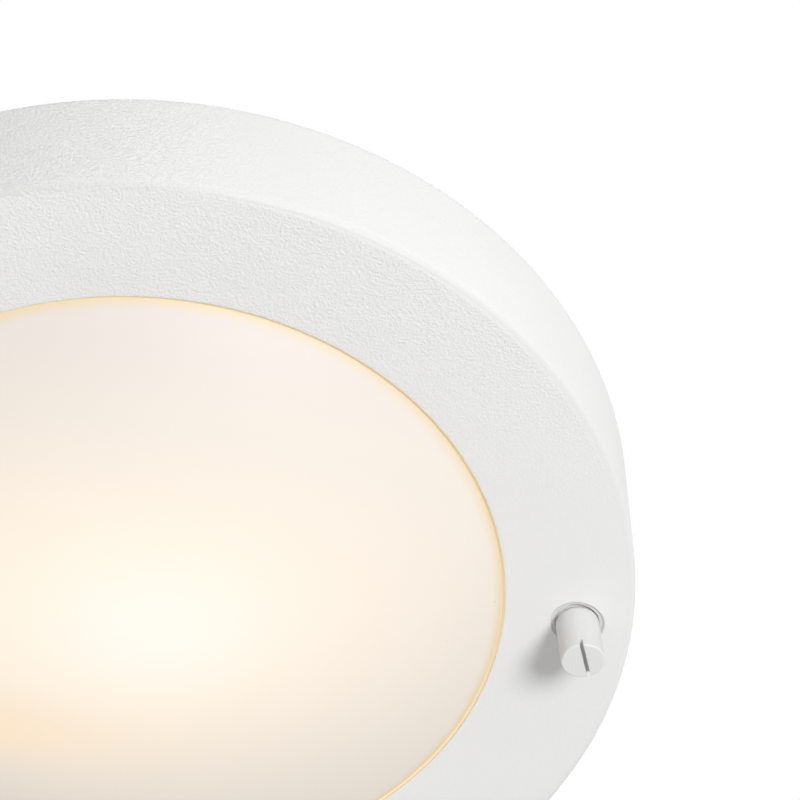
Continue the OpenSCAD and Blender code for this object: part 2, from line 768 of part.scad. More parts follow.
// Rolled threaded shell with a ring-shaped floor
module lampholder_shell() {
    inner_r = thread_r + shell_gap;
    lip_flare = 0.3;
    lip = [inner_r + thread_wave + lip_flare, holder_front - floor_h];
    color("goldenrod") along_bulb() rotate_extrude() polygon(concat(
        [[floor_hole_r, -floor_h], [inner_r - thread_wave + shell_t, -floor_h]],
        wave(inner_r + shell_t, thread_start, thread_turns),
        [[lip[0] + shell_t, lip[1]], [lip[0], lip[1]]],
        reverse(wave(inner_r, thread_start, thread_turns)),
        [[inner_r - thread_wave, -floor_h + shell_t], [floor_hole_r, -floor_h + shell_t]]));
}

// Arched spring strip that the bulb's end contact presses on
module centre_contact() {
    strip_w = 4.4;
    strip_t = 0.4;
    span = 4.5;
    rise = floor_h - touch_gap - strip_t;
    arch_r = (pow(span, 2) + pow(rise, 2)) / (2 * rise);
    arch_c = [0, -touch_gap - arch_r];
    half = asin(span / arch_r);
    color("goldenrod") along_bulb() rotate([90, 0, 0])
        linear_extrude(strip_w, center = true) polygon(concat(
            arc(arch_c, arch_r, 90 - half, 90 + half, 12),
            arc(arch_c, arch_r - strip_t, 90 + half, 90 - half, 12)));
}

module lampholder_screws() {
    color("silver") for (side = [-1, 1])
        translate([leg_x - bracket_t, 0, -bulb_depth + side * holder_screw_z]) rotate([0, 90, 0])
            machine_screw(holder_screw_d, bracket_t + holder_screw_h, 2 * holder_screw_d,
                holder_screw_d * 2 / 3);
}

// Golf-ball bulb with a rolled screw cap
module bulb() {
    neck_h = globe_h - neck_run;
    curve_c = [neck_r + neck_curve, neck_h];
    meet_a = atan2(globe_h - neck_h, -curve_c[0]);
    contact_edge = 0.4;
    contact_h = 1;
    insulator_h = 3;
    cap_flare = 2.5;
    color("floralwhite") along_bulb() rotate_extrude() polygon(concat(
        [[0, 0], [contact_r - contact_edge, 0], [contact_r, contact_edge], [contact_r, contact_h],
            [insulator_r, insulator_h], [thread_r - thread_wave, thread_start - thread_wave]],
        wave(thread_r, thread_start, thread_turns),
        [[thread_r, cap_h - cap_flare], [neck_r, cap_h], [neck_r, neck_h]],
        arc(curve_c, neck_curve, 180, meet_a, 8),
        arc([0, globe_h], bulb_r, meet_a - 180, 90, 24)));
}

// Section of one pole across the conductors, standing below the plate
module pole_section() {
    polygon([
        [-pole_w / 2, 0], [pole_w / 2, 0], [pole_w / 2, -pole_h + pole_edge],
        [pole_w / 2 - pole_edge, -pole_h], [-pole_w / 2 + pole_edge, -pole_h],
        [-pole_w / 2, -pole_h + pole_edge]
    ]);
}

module at_poles() {
    for (i = [0:pole_n - 1])
        translate([block_x, pole_pitch * (i - (pole_n - 1) / 2), block_z]) children();
}

module terminal_block() {
    web_l = block_l * 0.6;
    color("white") difference() {
        union() {
            at_poles() rotate([90, 0, 90]) linear_extrude(block_l, center = true) pole_section();
            translate([block_x, 0, block_z - web_h / 2])
                cube([web_l, pole_pitch * (pole_n - 1), web_h], center = true);
        }
        at_poles() translate([-block_l / 2 - past, 0, conductor_z - block_z])
            rotate([0, 90, 0]) cylinder(d = insert_d + tap_room, h = block_l + 2 * past);
        at_poles() for (side = [-1, 1]) {
            translate([side * (block_l / 2 - entry_funnel), 0, conductor_z - block_z])
                rotate([0, side * 90, 0]) cylinder(
                    d1 = insert_d + tap_room, d2 = insert_d + tap_room + 2 * (entry_funnel + past),
                    h = entry_funnel + past);
            translate([side * clamp_x, 0, -pole_h - past])
                cylinder(d = clamp_d + 2 * hole_room, h = pole_h + past + conductor_z - block_z);
        }
        translate([block_x, pole_pitch / 2, block_z - web_h - past])
            cylinder(d = block_screw_d + hole_room, h = web_h + 2 * past);
        translate([block_x, pole_pitch / 2, block_z - pole_h - past])
            cylinder(d = block_head_d + hole_room, h = pole_h - web_h + past);
    }
}

module terminal_inserts() {
    insert_l = block_l * 0.75;
    color("gold") at_poles() translate([0, 0, conductor_z - block_z]) difference() {
        translate([-insert_l / 2, 0, 0]) rotate([0, 90, 0]) cylinder(d = insert_d, h = insert_l);
        translate([-insert_l / 2 - past, 0, 0]) rotate([0, 90, 0])
            cylinder(d = insert_bore, h = insert_l + 2 * past);
        for (side = [-1, 1]) translate([side * clamp_x, 0, -insert_d])
            cylinder(d = clamp_d + tap_room, h = insert_d);
    }
}

module terminal_screws() {
    screw_h = pole_h - clamp_sunk - (block_z - conductor_z) - insert_bore / 2 - 2 * touch_gap;
    color("gold") at_poles() for (side = [-1, 1])
        translate([side * clamp_x, 0, -pole_h + clamp_sunk]) difference() {
            cylinder(d = clamp_d, h = screw_h);
            cube([clamp_d + past, driver_slot_w, 2 * driver_slot_deep], center = true);
        }
}

module block_screw() {
    color("silver") translate([block_x, pole_pitch / 2, block_z - web_h])
        machine_screw(block_screw_d, web_h + plate_t - touch_gap, block_head_d, block_head_d / 3);
}

module earth_screw() {
    color("gold") translate([earth_at[0], earth_at[1], -plate_t - 2 * tag_t])
        machine_screw(machine_d, plate_t + 2 * tag_t - touch_gap, machine_head_d, machine_head_h);
}

module earth_washer() {
    color("silver") translate([earth_at[0], earth_at[1], -plate_t - tag_t]) difference() {
        cylinder(d = machine_head_d + tooth_d, h = tag_t);
        translate([0, 0, -past]) cylinder(d = machine_d + hole_room, h = tag_t + 2 * past);
        for (i = [1:tooth_n]) rotate(360 * i / tooth_n)
            translate([(machine_head_d + tooth_d) / 2, 0, -past])
                cylinder(d = tooth_d, h = tag_t + 2 * past, $fn = 16);
    }
}

// Ring tag with a crimped barrel that holds the end of the earth wire
module earth_tag() {
    ring_w = machine_head_d + 2 * tag_edge;
    neck_w = barrel_r * 1.6;
    color("silver") translate([earth_at[0], earth_at[1], -plate_t - 2 * tag_t]) difference() {
        union() {
            cylinder(d = ring_w, h = tag_t);
            translate([-neck_w / 2, 0, 0]) cube([neck_w, barrel_y + tag_edge, tag_t]);
            translate([0, barrel_y, barrel_z + plate_t + 2 * tag_t]) rotate([-90, 0, 0])
                cylinder(r = barrel_r, h = barrel_l);
        }
        translate([0, 0, -past]) cylinder(d = machine_d + hole_room, h = tag_t + 2 * past);
        translate([0, barrel_y + tag_edge, barrel_z + plate_t + 2 * tag_t]) rotate([-90, 0, 0])
            cylinder(d = wire_d + tap_room, h = barrel_l);
    }
}

// Insulated wire: one tube swept along a route
module wire(route, sides = 10) {
    path = spline(route);
    last = len(path) - 1;
    tangents = [for (i = [0:last]) unit(path[min(i + 1, last)] - path[max(i - 1, 0)])];
    across = carried(tangents, [0, 0, 1]);
    points = [for (i = [0:last], k = [0:sides - 1])
        path[i] + wire_d / 2 * (cos(360 * k / sides) * across[i]
            + sin(360 * k / sides) * cross(tangents[i], across[i]))];
    walls = [for (i = [0:last - 1], k = [0:sides - 1])
        [i * sides + k, (i + 1) * sides + k, (i + 1) * sides + (k + 1) % sides, i * sides + (k + 1) % sides]];
    caps = [[for (k = [0:sides - 1]) k], [for (k = [sides - 1:-1:0]) last * sides + k]];
    polyhedron(points = points, faces = concat(walls, caps));
}

cover_ring();
glass_diffuser();
glass_gasket();
for (i = clip_ids) {
    at_clip(i) glass_clip();
    at_clip(i) clip_stud();
    at_clip(i) clip_nut();
}
for (i = screw_ids) {
    at_screw(i) cover_screw(slot_turns[i - 1]);
    at_screw(i) seat_washer();
    at_screw(i) retaining_ring();
    at_screw(i) cover_pillar();
}
base_plate();
ceiling_seal();
cable_grommet();
lampholder_bracket();
bracket_screws();
lampholder_body();
lampholder_shell();
centre_contact();
lampholder_screws();
bulb();
terminal_block();
terminal_inserts();
terminal_screws();
block_screw();
earth_screw();
earth_washer();
earth_tag();
color("sienna") wire(live_route);  // live_wire
color("steelblue") wire(neutral_route);  // neutral_wire
color("yellowgreen") wire(earth_route);  // earth_wire
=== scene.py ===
# Flush ceiling light: a powder-coated ring round a lit opal glass dome, seen from below
import json
import math

import bmesh
import bpy
import numpy as np
from mathutils import Matrix, Vector


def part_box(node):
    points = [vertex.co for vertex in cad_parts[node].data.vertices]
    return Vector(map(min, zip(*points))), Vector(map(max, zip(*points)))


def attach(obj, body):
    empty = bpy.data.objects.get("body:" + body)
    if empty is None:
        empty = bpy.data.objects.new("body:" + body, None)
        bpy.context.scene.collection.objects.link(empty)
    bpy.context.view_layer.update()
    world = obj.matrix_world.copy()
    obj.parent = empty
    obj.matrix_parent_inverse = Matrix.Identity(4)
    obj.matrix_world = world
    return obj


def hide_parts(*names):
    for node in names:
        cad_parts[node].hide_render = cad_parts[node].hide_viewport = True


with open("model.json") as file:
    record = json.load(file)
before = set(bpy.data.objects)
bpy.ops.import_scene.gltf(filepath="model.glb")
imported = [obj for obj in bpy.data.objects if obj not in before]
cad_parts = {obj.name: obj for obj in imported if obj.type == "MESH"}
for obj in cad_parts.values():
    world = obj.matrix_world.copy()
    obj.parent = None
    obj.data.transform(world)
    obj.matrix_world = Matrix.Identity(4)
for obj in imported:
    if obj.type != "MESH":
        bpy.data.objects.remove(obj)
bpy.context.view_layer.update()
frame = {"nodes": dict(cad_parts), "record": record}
nodes = frame["nodes"]
mm = 0.001  # the shapes below are worked out in millimetres
print("frame loaded:", len(nodes), "nodes")


# measures taken from the frame

def nodeBox(name):
    low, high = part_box(name)
    return np.array(low) / mm, np.array(high) / mm


def nodeRadii(name):
    # smallest and largest distance of a node's points from the light's axis
    flat = np.zeros(len(nodes[name].data.vertices) * 3)
    nodes[name].data.vertices.foreach_get("co", flat)
    reach = np.hypot(*flat.reshape(-1, 3).T[:2]) / mm
    return reach.min(), reach.max()


# camera, where the photograph was taken from

view = dict(eye=(35.16, -465.83, -601.96), aim=(76.2, -80.2, -40.0), up=(-0.0247, -0.8235, 0.5668),
            lens=105.69, sensor=36, nearest=0.01)


def addCamera():
    camera = bpy.data.objects.new("camera", bpy.data.cameras.new("camera"))
    bpy.context.scene.collection.objects.link(camera)
    eye, aim = Vector(view["eye"]) * mm, Vector(view["aim"]) * mm
    back = (eye - aim).normalized()
    right = Vector(view["up"]).cross(back).normalized()
    turned = Matrix((right, back.cross(right), back)).transposed()
    camera.matrix_world = Matrix.Translation(eye) @ turned.to_4x4()
    camera.data.sensor_width = view["sensor"]
    camera.data.lens = view["lens"]
    camera.data.clip_start = view["nearest"]
    bpy.context.scene.camera = camera


addCamera()


# profiles, as arrays of (radius, height) points

def arcOf(centre, radius, start, end, count):
    # centre + radius (cos a, sin a), for angles a from start to end in degrees
    a = np.radians(np.linspace(start, end, count))
    return np.array(centre) + radius * np.column_stack([np.cos(a), np.sin(a)])


def lineOf(start, end, count):
    # start + s (end - start), with s = (1 - cos) / 2 so that the points crowd at both ends
    s = (1 - np.cos(np.linspace(0, math.pi, count)))[:, None] / 2
    return np.array(start) + s * (np.array(end) - np.array(start))


def roundedCorners(corners, radii, count=6):
    # each corner p becomes an arc of its radius r, tangent to both sides of the outline: its centre
    # is r / sin(half the angle) along the bisector, and it starts and ends r / tan(half) from p
    outline = []
    corners = np.array(corners, float)
    for before, p, after, r in zip(np.roll(corners, 1, 0), corners, np.roll(corners, -1, 0), radii):
        if r == 0:
            outline.append(p[None])
            continue
        a, b = before - p, after - p
        a, b = a / np.linalg.norm(a), b / np.linalg.norm(b)
        half = math.acos(np.clip(a @ b, -1, 1)) / 2
        centre = p + (a + b) / np.linalg.norm(a + b) * r / math.sin(half)
        start, end = p + a * r / math.tan(half) - centre, p + b * r / math.tan(half) - centre
        turn = math.pi - 2 * half
        t = np.linspace(0, 1, count)[:, None]
        outline.append(centre + (np.sin((1 - t) * turn) * start + np.sin(t * turn) * end) / math.sin(turn))
    return np.concatenate(outline)


def smoothStep(x, low, high):
    # 3 s^2 - 2 s^3 for s = (x - low) / (high - low), held to 0 ... 1
    s = np.clip((x - low) / (high - low), 0, 1)
    return s * s * (3 - 2 * s)


# meshes from whole arrays

def addMesh(name, points, quads, triangles=np.zeros((0, 3), int), **attributes):
    # every face is turned if the sum of a . (b x c) over them, six times the volume, is below zero;
    # an attribute has one number for each point
    halves = np.concatenate([quads[:, [0, 1, 2]], quads[:, [0, 2, 3]], triangles])
    a, b, c = points[halves].transpose(1, 0, 2)
    if np.einsum("ij,ij->", a, np.cross(b, c)) < 0:
        quads, triangles = quads[:, ::-1], triangles[:, ::-1]
    used, corners = np.unique(np.concatenate([quads.ravel(), triangles.ravel()]), return_inverse=True)
    starts = np.concatenate([np.arange(len(quads)) * 4, len(quads) * 4 + np.arange(len(triangles)) * 3])
    mesh = bpy.data.meshes.new(name)
    mesh.vertices.add(len(used))
    mesh.vertices.foreach_set("co", (points[used] * mm).ravel())
    mesh.loops.add(len(corners))
    mesh.loops.foreach_set("vertex_index", corners.ravel())
    mesh.polygons.add(len(starts))
    mesh.polygons.foreach_set("loop_start", starts)
    mesh.update(calc_edges=True)
    mesh.validate()
    mesh.shade_smooth()
    for key, values in attributes.items():
        mesh.attributes.new(key, "FLOAT", "POINT").data.foreach_set("value", np.asarray(values, float)[used])
    return mesh


def gridQuads(rows, columns, closedRows):
    # the four corners of each cell of a grid whose points are numbered row by row
    r = np.arange(rows if closedRows else rows - 1)[:, None]
    c = np.arange(columns)[None]
    r2, c2 = (r + 1) % rows, (c + 1) % columns
    cells = np.broadcast_arrays(r * columns + c, r * columns + c2, r2 * columns + c2, r2 * columns + c)
    return np.stack(cells, -1).reshape(-1, 4)


def capTriangles(rows, columns):
    # fans from two extra points, numbered after the grid, to its first and last row
    edge = np.arange(columns)
    after, end, count = np.roll(edge, -1), (rows - 1) * columns, rows * columns
    return np.concatenate([
        np.column_stack([np.full_like(edge, count), after, edge]),
        np.column_stack([np.full_like(edge, count + 1), end + edge, end + after])])


def revolved(name, radius, height, columns, closed=False, placed=lambda p: p):
    # surface (r cos t, r sin t, z) over rows of (r, z) and even angles t; r may vary along a row,
    # and an open profile starts and ends on the axis, where it gets one point
    t = np.linspace(0, 2 * math.pi, columns, endpoint=False)[None]
    radius, height = np.broadcast_arrays(radius, height, np.zeros((1, columns)))[:2]
    points = np.stack([radius * np.cos(t), radius * np.sin(t), height], -1)
    if closed:
        return addMesh(name, placed(points.reshape(-1, 3)), gridQuads(len(points), columns, True))
    rows = len(points) - 2
    ordered = np.concatenate([points[1:-1].reshape(-1, 3), points[0, :1], points[-1, :1]])
    return addMesh(name, placed(ordered), gridQuads(rows, columns, False), capTriangles(rows, columns))


def swept(name, path, radius, sides=16):
    # tube: path point + radius (cos t across + sin t up), with across carried along the path
    tangents = np.gradient(path, axis=0)
    tangents /= np.linalg.norm(tangents, axis=1)[:, None]
    side, across = np.array([0.0, 0.0, 1.0]), []
    for tangent in tangents:
        side = side - (side @ tangent) * tangent
        side /= np.linalg.norm(side)
        across.append(side)
    across = np.array(across)[:, None]
    up = np.cross(tangents[:, None], across)
    t = np.linspace(0, 2 * math.pi, sides, endpoint=False)[None, :, None]
    rings = path[:, None] + radius * (np.cos(t) * across + np.sin(t) * up)
    points = np.concatenate([rings.reshape(-1, 3), path[:1], path[-1:]])
    shares = np.abs(np.linspace(-1, 1, sides, endpoint=False))
    return addMesh(name, points, gridQuads(len(path), sides, False), capTriangles(len(path), sides),
                   around=np.concatenate([np.tile(shares, len(path)), [0, 0]]))


def applied(mesh, name, modifiers):
    # a mesh after its modifiers, each given as (type, settings)
    piece = bpy.data.objects.new(name, mesh)
    bpy.context.scene.collection.objects.link(piece)
    for kind, settings in modifiers:
        modifier = piece.modifiers.new(kind.lower(), kind)
        for key, value in settings.items():
            setattr(modifier, key, value)
    bpy.context.view_layer.update()
    made = bpy.data.meshes.new_from_object(piece.evaluated_get(bpy.context.evaluated_depsgraph_get()))
    bpy.data.objects.remove(piece)
    bpy.data.meshes.remove(mesh)
    made.name = name
    return made


def addPiece(mesh, body, replaced, slot):
    piece = bpy.data.objects.new(mesh.name, mesh)
    bpy.context.scene.collection.objects.link(piece)
    mesh.materials.clear()
    mesh.materials.append(finishes[slot])
    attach(piece, body)
    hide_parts(*replaced)
    return piece


# shader maths

class Value:
    # a socket that takes part in sums: a * b + 1 adds Math nodes, with a number on either side
    def __init__(self, nodeTree, socket):
        self.nodeTree, self.socket = nodeTree, socket

    def maths(self, operation, first, second):
        return self.nodeTree.node("Math", dict(operation=operation), {0: first, 1: second})

    def other(self, output):
        return Value(self.nodeTree, self.socket.node.outputs[output])

    def __add__(self, number):
        return self.maths("ADD", self, number)

    def __sub__(self, number):
        return self.maths("SUBTRACT", self, number)

    def __rsub__(self, number):
        return self.maths("SUBTRACT", number, self)

    def __mul__(self, number):
        return self.maths("MULTIPLY", self, number)

    def __truediv__(self, number):
        return self.maths("DIVIDE", self, number)

    def __rtruediv__(self, number):
        return self.maths("DIVIDE", number, self)

    def __pow__(self, number):
        return self.maths("POWER", self, number)

    def __rpow__(self, number):
        return self.maths("POWER", number, self)

    __radd__ = __add__
    __rmul__ = __mul__


class NodeTree:
    # a material's or world's nodes, with one method that adds any node
    def __init__(self, tree):
        self.tree = tree

    def set(self, node, values):
        for key, value in values.items():
            socket = node.inputs[key]
            if isinstance(value, Value):
                self.tree.links.new(value.socket, socket)
            elif socket.type == "RGBA":
                socket.default_value = (*value, 1)
            else:
                socket.default_value = value

    def node(self, kind, settings=None, values=None, output=0):
        node = self.tree.nodes.new("ShaderNode" + kind)
        for key, value in (settings or {}).items():
            setattr(node, key, value)
        self.set(node, values or {})
        return Value(self, node.outputs[output])

    def mix(self, share, first, second):
        # colour: first where share is 0, second where it is 1
        return self.node("Mix", dict(data_type="RGBA"), {0: share, 6: first, 7: second}, output=2)

    def between(self, value, low, high):
        # 0 below low, 1 above high and a straight ramp between
        return self.node("MapRange", dict(clamp=True), {"Value": value, "From Min": low, "From Max": high})

    def seen(self):
        # 1 for what the camera sees straight, in a gloss or through glass, and 0 for light on the object
        ray = self.node("LightPath", output="Is Camera Ray")
        return self.between(ray + ray.other("Is Glossy Ray") + ray.other("Is Transmission Ray"), 0, 1)


class Paint(NodeTree):
    def __init__(self, name, constants):
        self.material = bpy.data.materials.new(name)
        self.material.use_nodes = True
        super().__init__(self.material.node_tree)
        self.shader = self.tree.nodes["Principled BSDF"]
        self.set(self.shader, constants)

    def place(self, scale=(1, 1, 1)):
        point = self.node("TexCoord", output="Object")
        return self.node("Mapping", values={"Vector": point, "Scale": scale})

    def noise(self, size, detail=2.0, roughness=0.5, scale=(1, 1, 1)):
        return self.node("TexNoise", values={
            "Vector": self.place(scale), "Scale": 1 / (size * mm), "Detail": detail, "Roughness": roughness})

    def cells(self, size):
        return self.node("TexVoronoi", values={"Vector": self.place(), "Scale": 1 / (size * mm)})

    def bump(self, height, depth):
        return self.node("Bump", values={"Height": height, "Distance": depth * mm, "Strength": 1.0})

    def finish(self, **links):
        names = dict(colour="Base Color", roughness="Roughness", normal="Normal",
                     glow="Emission Color", metallic="Metallic")
        self.set(self.shader, {names[key]: value for key, value in links.items()})
        return self.material


# finishes: sizes of patterns and depths of relief in millimetres

noiseSpan = (0.3, 0.7)  # most values of a noise lie between these
glossSpan = 0.2  # how far a roughness varies over a surface

# a span says where along an axis or a distance something fades in, and least is the share of the
# relief that is left where the coat has flowed out
# one of these colours is painted shade, for the rim, the screw seats and the screws' sides; the screws' tone
# is painted shade as well
powder = dict(light=(0.845, 0.845, 0.84), dark=(0.81, 0.81, 0.805), thin=(0.65, 0.65, 0.645), specular=0.35,
              roughness=0.45, uneven=0.15, grain=0.85, grainShare=0.5, fine=0.4, fineShare=0.35, cloud=40,
              cloudShare=0.4, depth=0.3, smoothSpan=(-105, -40), coverLeast=0.14,
              wallSpan=(150, 151), wallSmoothSpan=(0, 40), wallLeast=0.35, wallLight=(0.905, 0.905, 0.90),
              wallDark=(0.775, 0.775, 0.77), screwTone=0.885, screwLeast=0.25)


def powderCoat(name, tone, least):
    # sprayed grain, coarse towards -Y and flowed out towards +Y; on the upright wall it also shows in
    # the tone and flows out towards +X; a point attribute says where painted shade darkens the colour
    paint = Paint(name, {"Specular IOR Level": powder["specular"]})
    light, dark = (tuple(tone * c for c in powder[key]) for key in ("light", "dark"))
    grain = paint.noise(powder["grain"], roughness=0.55)
    fine = paint.noise(powder["fine"], detail=1)
    cloud = paint.between(paint.noise(powder["cloud"]), *noiseSpan)
    at = paint.node("SeparateXYZ", values={"Vector": paint.node("TexCoord", output="Object")})
    x, y = at / mm, at.other("Y") / mm
    smooth = paint.between(y, *powder["smoothSpan"])
    onWall = paint.between((x * x + y * y) ** 0.5, *powder["wallSpan"])
    smoothWall = onWall * paint.between(x, *powder["wallSmoothSpan"])
    relief = (1 - smooth * (1 - least)) * (1 - smoothWall * (1 - powder["wallLeast"]))
    even = paint.mix(cloud * powder["cloudShare"] + grain * powder["grainShare"], light, dark)
    speckled = paint.mix(paint.between(grain, *noiseSpan), powder["wallLight"], powder["wallDark"])
    colour = paint.mix((onWall - smoothWall) * (1 - smooth), even, speckled)
    # painted shade: the colour darkens towards the shade colour as far as this attribute says
    thin = paint.node("Attribute", dict(attribute_name="paintedShadeShare"), output="Fac")
    return paint.finish(
        colour=paint.mix(thin, colour, powder["thin"]),
        roughness=grain * powder["uneven"] + powder["roughness"],
        normal=paint.bump((grain + fine * powder["fineShare"]) * relief, powder["depth"]))


# the glass glows from pale at one side to dim at the other, brighter in patches round the bulb, amber
# at the opening's edge, and in one colour on its inner face
glow = dict(
    strength=0.63, specular=0.3, roughness=0.45, uneven=0.1, haze=2, skin=0.6, skinDeep=0.004,
    body=(0.42, 0.40, 0.37), bodyShade=0.97, bodyCloud=30,
    pale=(0.47, 0.42, 0.43), dim=(0.60, 0.52, 0.45), fade=(-110, 110),
    patches=(dict(at=(-19, -16), size=(120, 68), colour=(1.0, 0.85, 0.65)),
             dict(at=(4, -18), size=(31, 22), colour=(1.0, 0.89, 0.80)),
             dict(at=(-50, 24), size=(42, 12.5), colour=(0.98, 0.73, 0.44))),
    edge=(0.67, 0.45, 0.13), edgeSpan=(-3.8, -0.8), gap=(1.15, 0.97, 0.72), gapSpan=(-0.9, 0.6),
    inside=(0.80, 0.72, 0.60), insideSpan=(-0.2, 0.2),
    specks=22, speckSpan=(0.012, 0.018), speckColour=(0.3, 0.25, 0.2))


def opalGlass(openingRadius):
    paint = Paint("opalGlass", {
        "Specular IOR Level": glow["specular"], "Emission Strength": glow["strength"]})
    place = paint.node("TexCoord", output="Object")
    at = paint.node("SeparateXYZ", values={"Vector": place})
    x, y = at / mm, at.other("Y") / mm

    field = paint.mix(paint.between(y, *glow["fade"]), glow["pale"], glow["dim"])
    for patch in glow["patches"]:
        # share of its colour: e to the minus squared distance from its middle, in units of its size
        dx, dy = (x - patch["at"][0]) / patch["size"][0], (y - patch["at"][1]) / patch["size"][1]
        field = paint.mix(math.exp(-1) ** (dx * dx + dy * dy), field, patch["colour"])
    reach = (x * x + y * y) ** 0.5 - openingRadius
    field = paint.mix(paint.between(reach, *glow["edgeSpan"]), field, glow["edge"])
    field = paint.mix(paint.between(reach, *glow["gapSpan"]), field, glow["gap"])
    speck = paint.between(paint.cells(glow["specks"]), *glow["speckSpan"])
    field = paint.mix(speck, glow["speckColour"], field)
    facing = paint.node("SeparateXYZ", values={"Vector": place.other("Normal")})
    field = paint.mix(paint.between(facing.other("Z"), *glow["insideSpan"]), field, glow["inside"])
    shade = tuple(glow["bodyShade"] * c for c in glow["body"])
    return paint.finish(
        colour=paint.mix(paint.noise(glow["bodyCloud"]), glow["body"], shade),
        roughness=paint.noise(glow["haze"]) * glow["uneven"] + glow["roughness"], glow=field,
        normal=paint.bump(paint.noise(glow["skin"]), glow["skinDeep"]))


# colour, its shade in the clouds, the clouds' size, roughness, and the depth and grain of the skin
mouldings = dict(
    white_enamel=((0.8, 0.8, 0.79), (0.77, 0.77, 0.76), 60, 0.35, 0.012, 2.5),
    clear_silicone=((0.72, 0.66, 0.56), (0.66, 0.6, 0.5), 8, 0.45, 0.01, 1),
    white_nylon=((0.78, 0.78, 0.74), (0.73, 0.73, 0.69), 10, 0.42, 0.008, 1),
    grey_rubber=((0.16, 0.16, 0.165), (0.13, 0.13, 0.135), 5, 0.6, 0.015, 0.5),
    ivory_thermoset=((0.74, 0.69, 0.56), (0.69, 0.63, 0.51), 14, 0.3, 0.006, 1),
    brown_wire=((0.10, 0.035, 0.015), (0.08, 0.028, 0.012), 3, 0.42, 0.01, 1),
    blue_wire=((0.02, 0.09, 0.36), (0.015, 0.075, 0.31), 3, 0.42, 0.01, 1))


def moulded(name, colour, shade, cloud, roughness, depth, grain):
    # two close tones in clouds, a little unevenness in gloss and a fine skin
    paint = Paint(name, {})
    tone = paint.noise(cloud, detail=3)
    return paint.finish(
        colour=paint.mix(paint.between(tone, *noiseSpan), colour, shade),
        roughness=tone * glossSpan + (roughness - glossSpan / 2),
        normal=paint.bump(paint.noise(grain), depth))


# colour, its shade in the streaks, and roughness
metals = dict(
    spring_steel=((0.50, 0.50, 0.52), (0.40, 0.40, 0.42), 0.34),
    zinc_plated_steel=((0.62, 0.63, 0.65), (0.50, 0.51, 0.53), 0.32),
    brass=((0.72, 0.52, 0.22), (0.60, 0.42, 0.17), 0.3),
    nickelled_shell=((0.66, 0.62, 0.55), (0.54, 0.50, 0.44), 0.26),
    tinned_copper=((0.62, 0.58, 0.55), (0.52, 0.48, 0.46), 0.38))
rolling = dict(streaks=(1, 1, 0.08), size=0.6, cloud=8, toneSpan=(0.35, 0.65), depth=0.003)


def rolledMetal(name, colour, shade, roughness):
    # fine streaks from stretched noise and soft clouds, in tone, gloss and relief
    paint = Paint(name, {"Metallic": 1.0})
    lines = paint.noise(rolling["size"], detail=3, roughness=0.6, scale=rolling["streaks"])
    tone = paint.between(lines * 0.5 + paint.noise(rolling["cloud"]) * 0.5, *rolling["toneSpan"])
    return paint.finish(
        colour=paint.mix(tone, colour, shade),
        roughness=lines * glossSpan + (roughness - glossSpan / 2),
        normal=paint.bump(lines, rolling["depth"]))


foam = dict(pore=0.9, poreSpan=(0.1, 0.6), dark=(0.035, 0.035, 0.037), light=(0.085, 0.085, 0.09),
            roughness=0.85, uneven=0.1, depth=0.25, specular=0.2)


def closedCellFoam():
    # cut cells, with painted shade darkening their hollow middles, and the foam's own tone on the walls
    # between them
    paint = Paint("greyFoam", {"Specular IOR Level": foam["specular"]})
    pores = paint.cells(foam["pore"])
    return paint.finish(
        colour=paint.mix(paint.between(pores, *foam["poreSpan"]), foam["dark"], foam["light"]),
        roughness=pores * foam["uneven"] + foam["roughness"], normal=paint.bump(pores, foam["depth"]))


frosted = dict(capLength=26, globeRadius=22.5, capEdge=0.05, haze=12, roughness=0.28, uneven=0.1,
               glowSize=20, cap=(0.62, 0.59, 0.53), glass=(0.45, 0.42, 0.36), dim=(0.50, 0.36, 0.20),
               bright=(0.66, 0.56, 0.40))


def litBulb():
    # nickelled cap along X, and beyond it a frosted envelope, lit most round the middle of its globe
    low, high = nodeBox("bulb")
    capEnd, globeX = low[0] + frosted["capLength"], high[0] - frosted["globeRadius"]
    paint = Paint("litBulb", {"Emission Strength": 1.0})
    along = paint.node("SeparateXYZ", values={"Vector": paint.node("TexCoord", output="Object")}) / mm
    glass = paint.between(along, capEnd - frosted["capEdge"], capEnd + frosted["capEdge"])
    offset = (along - globeX) / frosted["glowSize"]
    warm = paint.mix(math.exp(-1) ** (offset * offset), frosted["dim"], frosted["bright"])
    return paint.finish(
        colour=paint.mix(glass, frosted["cap"], frosted["glass"]), metallic=1 - glass,
        roughness=paint.noise(frosted["haze"]) * frosted["uneven"] + frosted["roughness"],
        glow=paint.mix(glass, (0, 0, 0), warm))


stripes = dict(green=(0.05, 0.26, 0.07), yellow=(0.72, 0.6, 0.05), edge=(0.62, 0.66), cloud=2, roughness=0.35,
               uneven=0.15, depth=0.01)


def stripedWire():
    # yellow on the side where the attribute is near 1, and green on the other
    paint = Paint("greenYellowWire", {})
    around = paint.node("Attribute", dict(attribute_name="around"), output="Fac")
    tone = paint.noise(stripes["cloud"])
    return paint.finish(
        colour=paint.mix(paint.between(around, *stripes["edge"]), stripes["green"], stripes["yellow"]),
        roughness=tone * stripes["uneven"] + stripes["roughness"], normal=paint.bump(tone, stripes["depth"]))


def joined(name):
    # base_plate becomes basePlate
    first, *others = name.split("_")
    return first + "".join(word.title() for word in others)


